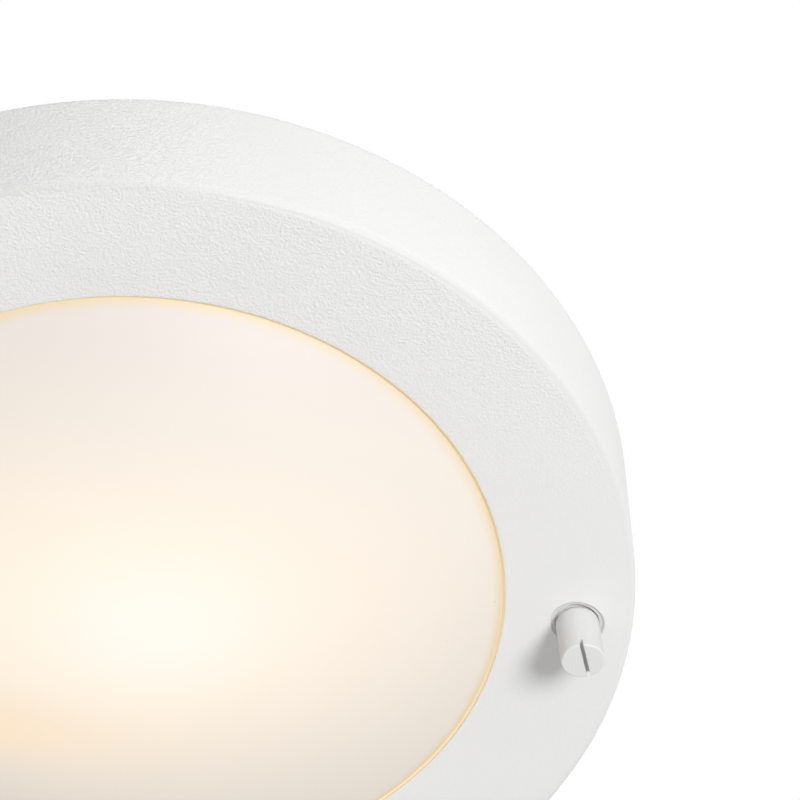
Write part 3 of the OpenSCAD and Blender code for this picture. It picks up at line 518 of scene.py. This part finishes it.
lip = 0.5  # the opening's edge reaches this much further in than on the solid, as the real one does
openingRadius, rearRadius = nodeRadii("cover_ring")
openingRadius -= lip
finishes = {
    "white_powder_coat": powderCoat("powderCoat", 1, powder["coverLeast"]),
    "opal_glass": opalGlass(openingRadius),
    "grey_foam": closedCellFoam(),
    "green_yellow_wire": stripedWire(),
    "lit_bulb": litBulb(),
    **{slot: moulded(joined(slot), *values) for slot, values in mouldings.items()},
    **{slot: rolledMetal(joined(slot), *values) for slot, values in metals.items()},
}
for part in frame["record"]["subparts"]:
    mesh = nodes[part["node"]].data
    mesh.materials.clear()
    mesh.materials.append(finishes[part["material_slot"]])
print("finishes made:", len(finishes))

# cover ring: pressed sheet with three sunk screw seats

ring = dict(taper=2.2, height=44.5, sheet=1.2, rimRadius=1.9, dish=5.7, edgeRound=0.35,
            seatRadius=8.1, seatSoft=0.4, ledgeDeep=0.75, pocketRadius=6.78, pocketSoft=0.06,
            holeRadius=2.65, circleTo=10.6, patch=12.0, seatStep=0.12, betweenColumns=60,
            # painted shade: its share on the ledge, its least and most on the rim, and the span towards -Y
            # where it grows
            paintedShadeLedge=0.8, paintedShadeRim=(0.3, 1.0), paintedShadeTowards=(-0.2, 0.6))
ringPoints = dict(hole=5, floor=7, beyond=5, patch=4, outer=4, inner=9, wall=9, rim=18, rimInside=10,
                  wallInside=7, edge=5)  # on each stretch of the profile
rearZ = nodeBox("cover_ring")[1][2]
edgeZ = rearZ - ring["height"] + ring["dish"]
rimCentre = (np.array([rearRadius - ring["taper"], rearZ - ring["height"]])
             + ring["rimRadius"] * np.array([-1, 1]))
screwLow, screwHigh = nodeBox("cover_screw_1")
screwRadius = (screwLow[0] + screwHigh[0]) / 2
screwAngles = np.radians([0, 120, 240])


def tangentAngle(point, side):
    # direction from the rim's centre to where a line from point touches the rim, in degrees
    d = np.array(point) - rimCentre
    return math.degrees(math.atan2(d[1], d[0]) + side * math.acos(ring["rimRadius"] / np.linalg.norm(d)))


wallAngle = tangentAngle((rearRadius, rearZ), -1)
faceAngle = tangentAngle((openingRadius, edgeZ), 1) - 360
faceTilt = math.radians(-90 - faceAngle)


def faceHeight(radius):
    # the face is a cone: edge height - (r - opening radius) tan tilt
    return edgeZ - (radius - openingRadius) * math.tan(faceTilt)


seatZ = nodeBox("seat_washer_1")[1][2]


def concentric(x, y):
    # square to disc: the larger of |x| and |y| is the radius, and their ratio turns it by up to 45 degrees
    wide = np.abs(x) >= np.abs(y)
    large = np.where(wide, x, y)
    a = np.where(wide, y, x) / np.where(large == 0, 1, large) * math.pi / 4
    along, aside = large * np.cos(a), large * np.sin(a)
    return np.where(wide, along, aside), np.where(wide, aside, along)


def within(distance, radius, soft):
    # 1 inside the radius and 0 outside it, with a smooth step of twice soft between
    return 1 - smoothStep(distance, radius - soft, radius + soft)


def edgeRounds(corner, along, normal):
    # cut edge of the sheet: two quarter circles, from the outer face round to the hidden one
    r, t = ring["edgeRound"], ring["sheet"]
    a = np.linspace(0, math.pi / 2, ringPoints["edge"])[:, None]
    first = corner - r * along - r * normal + r * (np.cos(a) * normal + np.sin(a) * along)
    second = corner - r * along - (t - r) * normal + r * (np.cos(a) * along - np.sin(a) * normal)
    return np.concatenate([first, second])


def coverRing():
    # sheet profile carried round the axis; near a screw the grid turns into circles round it,
    # and the height steps from the face's cone to a shallow ledge and on to the seat's flat floor
    t, r = ring["sheet"], ring["edgeRound"]
    # distances from the screw's axis at which the grid has rows and columns, closest over the steps
    count = ringPoints
    inHole = np.linspace(0, ring["holeRadius"], count["hole"])[1:]
    onFloor = np.linspace(ring["holeRadius"], ring["pocketRadius"] - ring["pocketSoft"], count["floor"])[1:]
    bend = np.arange(onFloor[-1], ring["seatRadius"] + 2 * ring["seatSoft"], ring["seatStep"])[1:]
    beyond = np.linspace(bend[-1], ring["circleTo"], count["beyond"])[1:-1]
    patch = np.linspace(ring["circleTo"], ring["patch"], count["patch"])
    halfSteps = np.concatenate([inHole, onFloor, bend, beyond, patch])
    steps = np.concatenate([-halfSteps[::-1], [0], halfSteps])
    half, hole = len(halfSteps), len(inHole)

    # n and m point outwards from the face and from the wall
    n = np.array([math.cos(math.radians(faceAngle)), math.sin(math.radians(faceAngle))])
    m = np.array([math.cos(math.radians(wallAngle)), math.sin(math.radians(wallAngle))])
    inwards, rearwards = np.array([n[1], -n[0]]), np.array([-m[1], m[0]])
    opening, rear = np.array([openingRadius, edgeZ]), np.array([rearRadius, rearZ])
    rimEnd = rimCentre[0] + ring["rimRadius"] * n[0]
    outerSteps = np.linspace(rimEnd, screwRadius + steps[-1], count["outer"])[1:-1]
    innerSteps = lineOf([screwRadius + steps[0]], [openingRadius + t], count["inner"])[1:, 0]
    front = np.concatenate([outerSteps, screwRadius + steps[::-1], innerSteps])
    rise = t / math.cos(faceTilt)
    innerRim = ring["rimRadius"] - t
    parts = [
        lineOf(rear - rearwards * r, rimCentre + ring["rimRadius"] * m, count["wall"]),
        arcOf(rimCentre, ring["rimRadius"], wallAngle, faceAngle, count["rim"])[1:],
        np.column_stack([front, faceHeight(front)]),
        edgeRounds(opening, inwards, n),
        np.column_stack([front, faceHeight(front) + rise])[::-1],
        arcOf(rimCentre, innerRim, faceAngle, wallAngle, count["rimInside"]),
        lineOf(rimCentre + innerRim * m, rear - t * m - rearwards * r, count["wallInside"])[1:-1],
        edgeRounds(rear, rearwards, m)[:0:-1]]
    starts = np.cumsum([0] + [len(p) for p in parts])
    profile = np.concatenate(parts)
    frontRow = starts[2] + len(outerSteps) + half
    backRow = starts[5] - 1 - len(outerSteps) - half

    # (x, y) is a point's place beside its screw before the grid turns into circles, and (u, v) after
    margin = steps[-1] / screwRadius
    between = np.linspace(margin, 2 * math.pi / len(screwAngles) - margin, ring["betweenColumns"] + 2)[1:-1]
    perScrew = len(steps) + len(between)
    nearest = np.repeat(screwAngles, perScrew)
    angles = nearest + np.tile(np.concatenate([steps / screwRadius, between]), len(screwAngles))
    rows = np.arange(len(profile))[:, None]
    onBack = (rows >= starts[4]) & (rows < starts[5])
    onFace = onBack | (rows >= starts[2]) & (rows < starts[3])
    x, y = np.broadcast_arrays(profile[:, :1] - screwRadius, screwRadius * (angles - nearest)[None])
    reach = np.maximum(np.abs(x), np.abs(y))
    share = np.where(onFace, 1 - smoothStep(reach, ring["circleTo"], ring["patch"]), 0)
    u, v = concentric(x, y)
    c, s = np.cos(nearest), np.sin(nearest)
    planX, planY = profile[:, :1] * np.cos(angles), profile[:, :1] * np.sin(angles)
    planX = planX + share * ((screwRadius + u) * c - v * s - planX)
    planY = planY + share * ((screwRadius + u) * s + v * c - planY)
    away = np.hypot(planX - screwRadius * c, planY - screwRadius * s)
    inner = away - np.where(onBack, t, 0)
    onLedge = within(inner, ring["seatRadius"], ring["seatSoft"])
    inPocket = within(inner, ring["pocketRadius"], ring["pocketSoft"])
    ledge = faceHeight(np.hypot(planX, planY)) + onLedge * ring["ledgeDeep"] + np.where(onBack, rise, 0)
    floor = seatZ + np.where(onBack, t, 0)
    z = np.where(onFace, ledge + inPocket * (floor - ledge), profile[:, 1:])
    points = np.stack([planX, planY, z], -1).reshape(-1, 3)

    # the cells over each hole are left out on both sides, and a wall joins the two edges
    columns = len(angles)
    quads = gridQuads(len(profile), columns, True)
    row, column = quads[:, 0] // columns, quads[:, 0] % columns % perScrew
    holeColumn = (column >= half - hole) & (column < half + hole)
    holeRow = ((row >= frontRow - hole) & (row < frontRow + hole)
               | (row >= backRow - hole) & (row < backRow + hole))
    side, full = np.arange(-hole, hole), np.full(2 * hole, hole)
    loopRow = np.concatenate([side, full, -side, -full])
    loopColumn = np.concatenate([-full, side, full, -side])
    holeWalls = []
    for i in range(len(screwAngles)):
        along = i * perScrew + half + loopColumn
        outer = (frontRow - loopRow) * columns + along
        inner = (backRow + loopRow) * columns + along
        holeWalls.append(np.column_stack([outer, np.roll(outer, -1), np.roll(inner, -1), inner]))
    # painted shade on the ledge and in the seat round each screw, and on the rim: most of all
    # halfway round its bend, and towards -Y, the side the key lamp lights
    least, most = ring["paintedShadeRim"]
    onRim = np.zeros((len(profile), 1))
    onRim[starts[1] - 1:starts[2] + 1, 0] = np.sin(np.linspace(0, math.pi, starts[2] - starts[1] + 2))
    onRim = onRim * (least + (most - least) * smoothStep(-planY / rearRadius, *ring["paintedShadeTowards"]))
    thin = np.where(onFace & ~onBack, np.maximum(ring["paintedShadeLedge"] * onLedge, onRim), onRim)
    return addMesh("coverRing", points, np.concatenate([quads[~(holeColumn & holeRow)], *holeWalls]),
                   paintedShadeShare=thin.ravel())


addPiece(coverRing(), "cover", ["cover_ring"], "white_powder_coat")
print("cover ring made")

# glass: blown opal dome with a thick flange

dome = dict(thickness=3.5, behindFace=0.4, cornerRound=1.5, edgeRound=1.4, innerRound=0.8, arcPoints=60,
            columns=240)
glassLow, glassHigh = nodeBox("glass_diffuser")
flangeRadius = nodeRadii("glass_diffuser")[1]


def glassDome():
    # outline: outer sphere from the apex to the flange, round the flange, and the inner sphere back
    t = dome["thickness"]
    faceBack = edgeZ + ring["sheet"] / math.cos(faceTilt) + dome["behindFace"]
    deep = faceBack - glassLow[2]
    outer = (openingRadius ** 2 + deep ** 2) / (2 * deep)
    centre = glassLow[2] + outer
    under, top = glassHigh[2] - t, glassHigh[2]
    meet = math.degrees(math.asin((under - centre) / outer))
    innerEnd = math.degrees(math.asin((top - centre) / (outer - t)))
    outside = arcOf((0, centre), outer, -90, meet, dome["arcPoints"])
    inside = arcOf((0, centre), outer - t, innerEnd, -90, dome["arcPoints"])
    flange = [(flangeRadius, under), (flangeRadius, top)]
    corners = np.concatenate([outside, flange, inside])
    radii = ([0] * (len(outside) - 1) + [dome["cornerRound"]] + [dome["edgeRound"]] * 2
             + [dome["innerRound"]] + [0] * (len(inside) - 1))
    profile = roundedCorners(corners, radii)
    return revolved("glassDome", profile[:, :1], profile[:, 1:], dome["columns"])


addPiece(glassDome(), "cover", ["glass_diffuser"], "opal_glass")
print("glass made")

# cover screws: turned head with a sawn slot, threaded shank and a groove for the retaining ring

screw = dict(headRadius=6.7, headLength=19.2, end=0.35, endRound=0.2, foot=(0.8, 1.7), footRound=0.3, gap=0.1,
             shankRadius=2.45, shankLength=19, groove=(2.05, 2.95), grooveRadius=2.15, point=0.9,
             pitch=0.8, threadDeep=0.45, threadFrom=0.2, runOut=1, stepsPerTurn=8,
             slotWidth=1.2, slotDeep=2.5, slotAside=0.7, slotEdge=0.09, slotReach=9, turns=(74, 20, 132),
             paintedShadeSide=0.9, endRings=(1, 2.5, 4, 5.2), sides=96, bevelFrom=50, sharpFrom=40)


def turnedBy(angle, points):
    # (x cos a - y sin a, x sin a + y cos a, z)
    x, y, z = points.T
    c, s = math.cos(angle), math.sin(angle)
    return np.column_stack([x * c - y * s, x * s + y * c, z])


def coverScrew(i):
    # radius over height: the head with its two chamfers, then the shank, whose thread is a
    # wave that climbs one pitch a turn; a box cuts the slot across the head's end
    s, sides = screw, screw["sides"]
    headZ = screwLow[2] + s["headLength"]
    end, foot = headZ - s["headLength"], headZ - s["gap"]
    head = roundedCorners([
        (0, end), (s["headRadius"] - s["end"], end), (s["headRadius"], end + s["end"]),
        (s["headRadius"], foot - s["foot"][1]), (s["headRadius"] - s["foot"][0], foot),
        (s["shankRadius"], foot)], [0, *[s["endRound"]] * 2, *[s["footRound"]] * 2, 0], 4)
    body = np.concatenate([head[:1], [(reach, end) for reach in s["endRings"]], head[1:]])
    tip = headZ + s["shankLength"]
    z = np.arange(foot + s["threadFrom"], tip - s["point"], s["pitch"] / s["stepsPerTurn"])
    grooveLow, grooveHigh = (headZ + h for h in s["groove"])
    t = np.linspace(0, 2 * math.pi, sides, endpoint=False)[None]
    wave = 0.5 - 0.5 * np.cos(2 * math.pi * z[:, None] / s["pitch"] - t)
    cut = smoothStep(z, grooveHigh, grooveHigh + s["runOut"])[:, None]
    inGroove = ((z > grooveLow) & (z < grooveHigh))[:, None]
    shank = np.where(inGroove, s["grooveRadius"], s["shankRadius"] - s["threadDeep"] * wave * cut)
    radius = np.concatenate([np.broadcast_to(body[:, :1], (len(body), sides)), shank,
                             np.full((1, sides), s["shankRadius"] - s["point"]), np.zeros((1, sides))])
    height = np.concatenate([body[:, 1], z, [tip, tip]])[:, None]

    def placed(points):
        return turnedBy(screwAngles[i], points + [screwRadius, 0, 0])

    mesh = revolved("uncutScrew", radius, height, sides, placed=placed)
    wide, reach = s["slotWidth"] / 2, s["slotReach"]
    box = np.array([(x, y - s["slotAside"], z) for z in (end - 1, end + s["slotDeep"])
                    for x, y in ((-reach, -wide), (reach, -wide), (reach, wide), (-reach, wide))])
    faces = np.array([(0, 3, 2, 1), (4, 5, 6, 7), (0, 1, 5, 4), (1, 2, 6, 5), (2, 3, 7, 6), (3, 0, 4, 7)])
    cutter = bpy.data.objects.new("slotCutter", addMesh(
        "slotCutter", placed(turnedBy(math.radians(s["turns"][i]), box)), faces))
    bpy.context.scene.collection.objects.link(cutter)
    made = applied(mesh, "coverScrew%d" % (i + 1), [
        ("BOOLEAN", dict(object=cutter, solver="EXACT")),
        ("BEVEL", dict(width=s["slotEdge"] * mm, segments=2, angle_limit=math.radians(s["bevelFrom"])))])
    bpy.data.meshes.remove(cutter.data)
    made.set_sharp_from_angle(angle=math.radians(s["sharpFrom"]))
    # no painted shade on the end, and painted shade on the turned side, which the lamps light more
    heights = np.array([vertex.co.z for vertex in made.vertices]) / mm
    thin = made.attributes.new("paintedShadeShare", "FLOAT", "POINT")
    thin.data.foreach_set("value", s["paintedShadeSide"] * smoothStep(heights, end, end + s["end"]))
    return made


# the screws take a darker copy of the same coat: painted shade
shadedScrewCoat = powderCoat("screwPowderCoat", powder["screwTone"], powder["screwLeast"])
for i in range(len(screwAngles)):
    name = "screw_%d" % (i + 1)
    piece = addPiece(coverScrew(i), name, ["cover_" + name], "white_powder_coat")
    piece.data.materials[0] = shadedScrewCoat
print("cover screws made")

# fittings: merged copies of their solids, with the edges broken by so many millimetres

fittings = dict(
    base_plate=0, ceiling_seal=0.5, cable_grommet=0.15, cover_pillar_1=0.15, cover_pillar_2=0.15,
    cover_pillar_3=0.15, lampholder_bracket=0.15, bracket_screws=0.08, lampholder_body=0.12,
    lampholder_shell=0, centre_contact=0.08, lampholder_screws=0.08, terminal_block=0.2,
    terminal_inserts=0.08, terminal_screws=0.08, block_screw=0.06, earth_screw=0.08, earth_washer=0.08,
    earth_tag=0.06, bulb=0, glass_gasket=0.2, glass_clip_1=0.1, glass_clip_2=0.1, glass_clip_3=0.1,
    clip_stud_1=0.06, clip_stud_2=0.06, clip_stud_3=0.06, clip_nut_1=0.08, clip_nut_2=0.08,
    clip_nut_3=0.08, seat_washer_1=0.08, seat_washer_2=0.08, seat_washer_3=0.08,
    retaining_ring_1=0.06, retaining_ring_2=0.06, retaining_ring_3=0.06)
sharpFrom = dict(plate=35, others=24)  # degrees between two faces
merging = dict(distance=0.002, flat=0.5)  # millimetres between points, degrees between faces


def fitting(name, width):
    # the solid's triangles are merged into whole faces, whose edges take the bevel; the weighted
    # normals keep the flats flat up to their edges
    shape = bmesh.new()
    shape.from_mesh(nodes[name].data)
    bmesh.ops.remove_doubles(shape, verts=shape.verts, dist=merging["distance"] * mm)
    bmesh.ops.dissolve_limit(shape, angle_limit=math.radians(merging["flat"]), verts=shape.verts,
                             edges=shape.edges)
    mesh = bpy.data.meshes.new("unfinished")
    shape.to_mesh(mesh)
    shape.free()
    mesh.shade_smooth()
    sharpAngle = math.radians(sharpFrom["plate" if name == "base_plate" else "others"])
    mesh.set_sharp_from_angle(angle=sharpAngle)
    bevel = [("BEVEL", dict(width=width * mm, segments=2, angle_limit=sharpAngle))] if width > 0 else []
    return applied(mesh, joined(name), [*bevel, ("WEIGHTED_NORMAL", dict(keep_sharp=True))])


bodyOf = {node: body for body, names in frame["record"]["behaviour"]["bodies"].items() for node in names}
slotOf = {part["node"]: part["material_slot"] for part in frame["record"]["subparts"]}
for name, width in fittings.items():
    addPiece(fitting(name, width), bodyOf[name], [name], slotOf[name])
print("fittings made:", len(fittings))

# wires: smooth curves through the same points as the solid ones

wires = dict(radius=1.2, blockX=53, blockLength=20, pitch=11, conductorZ=-7.0, endX=-56.5, endY=12.5,
             bulbZ=-35, earth=(22, -46), barrelY=5.75, barrelLength=6, barrelZ=-3.0, spacing=1.2)


def splineThrough(route):
    # Catmull-Rom curve: each stretch is a cubic through its ends, with slopes from their neighbours
    p = np.array([route[0], *route, route[-1]], float)
    pieces = []
    for a, b, c, d in zip(p[:-3], p[1:-2], p[2:-1], p[3:]):
        count = max(2, round(np.linalg.norm(c - b) / wires["spacing"]))
        t = np.linspace(0, 1, count, endpoint=False)[:, None]
        pieces.append(0.5 * (2 * b + (c - a) * t + (2 * a - 5 * b + 4 * c - d) * t ** 2
                             + (3 * b - a - 3 * c + d) * t ** 3))
    return np.concatenate([*pieces, p[-1:]])


def addWires():
    # routes from the terminal block over the base plate to the lampholder and to the earth tag
    w = wires
    start, z = w["blockX"] - w["blockLength"] / 2, w["conductorZ"]
    live = [(start + 3, 0, z), (start - 3, 0.5, z), (34, 8, -4.6), (28, 22, -3), (16, 31, -2.8),
            (-8, 33, -2.6), (-30, 32, -3), (-46, 32, -9), (w["endX"] + 1, 29, -22),
            (w["endX"], 24, -29), (w["endX"], w["endY"], w["bulbZ"] + 4)]
    neutral = [(start + 3, w["pitch"], z), (start - 4, w["pitch"] + 2, z), (36, 24, -4.4), (26, 32, -3),
               (10, 36, -2.8), (-12, 37, -2.6), (-34, 36, -4), (-50, 36, -16), (w["endX"], 33, -30),
               (w["endX"], 26, -37), (w["endX"], w["endY"], w["bulbZ"] - 4)]
    tagX, tagY, tagZ = w["earth"][0], w["earth"][1] + w["barrelY"], w["barrelZ"]
    earth = [(start + 3, -w["pitch"], z), (start - 5, -w["pitch"] - 1, z), (34, -19, -5), (26, -25, -3.4),
             (tagX + 0.4, -30, tagZ), (tagX, tagY + w["barrelLength"], tagZ), (tagX, tagY + 1, tagZ)]
    rows = (("liveWire", live, "live_wire", "brown_wire"),
            ("neutralWire", neutral, "neutral_wire", "blue_wire"),
            ("earthWire", earth, "earth_wire", "green_yellow_wire"))
    for name, route, node, slot in rows:
        addPiece(swept(name, splineThrough(route), w["radius"]), "base", [node], slot)


addWires()
print("wires made")

# light: a soft key from the photograph's side, an even sky, and a pale floor far below, which the
# camera sees in floorSeen on top of the light that falls on it

studio = dict(
    key=dict(towards=(0.377, -0.654, -0.656), away=1.3, size=0.4, power=12.1),
    fill=dict(towards=(-0.1, 0.25, 0.96), away=1.3, size=0.9, power=6),
    skyFrom=(-0.09, 0.56, -0.82), skyDim=(0.29, 0.29, 0.29), skyBright=(1.20, 1.20, 1.20),
    floorZ=-2.4, floorSize=12, floorRoughness=0.8, floor=(0.82, 0.82, 0.82), floorSeen=(0.585, 0.585, 0.585))


def addLights():
    for name in ("key", "fill"):
        lamp = studio[name]
        data = bpy.data.lights.new(name, "AREA")
        data.shape, data.size, data.energy = "DISK", lamp["size"], lamp["power"]
        light = bpy.data.objects.new(name, data)
        bpy.context.scene.collection.objects.link(light)
        away = Vector(lamp["towards"]).normalized() * lamp["away"]
        light.matrix_world = Matrix.Translation(away) @ away.to_track_quat("Z", "Y").to_matrix().to_4x4()
        light.visible_camera = False
    world = bpy.data.worlds.new("sky")
    world.use_nodes = True
    bpy.context.scene.world = world
    sky = NodeTree(world.node_tree)
    towards = sky.node("VectorMath", dict(operation="DOT_PRODUCT"), {
        0: sky.node("TexCoord", output="Generated"), 1: studio["skyFrom"]}, output="Value")
    lit = sky.mix(sky.between(towards, -1, 1), studio["skyDim"], studio["skyBright"])
    background = world.node_tree.nodes["Background"]
    sky.set(background, {"Color": sky.mix(sky.seen(), lit, (1, 1, 1)), "Strength": 1.0})


def addFloor():
    half = studio["floorSize"] / 2
    mesh = bpy.data.meshes.new("floor")
    corners = [(-half, -half), (half, -half), (half, half), (-half, half)]
    mesh.from_pydata([(x, y, studio["floorZ"]) for x, y in corners], [], [(0, 1, 2, 3)])
    paint = Paint("paleFloor", {"Base Color": studio["floor"], "Roughness": studio["floorRoughness"],
                                "Specular IOR Level": 0.0, "Emission Strength": 1.0})
    mesh.materials.append(paint.finish(glow=paint.mix(paint.seen(), (0, 0, 0), studio["floorSeen"])))
    floor = bpy.data.objects.new("floor", mesh)
    bpy.context.scene.collection.objects.link(floor)


addLights()
addFloor()
bpy.context.scene.view_settings.view_transform = "Standard"
print("studio made")
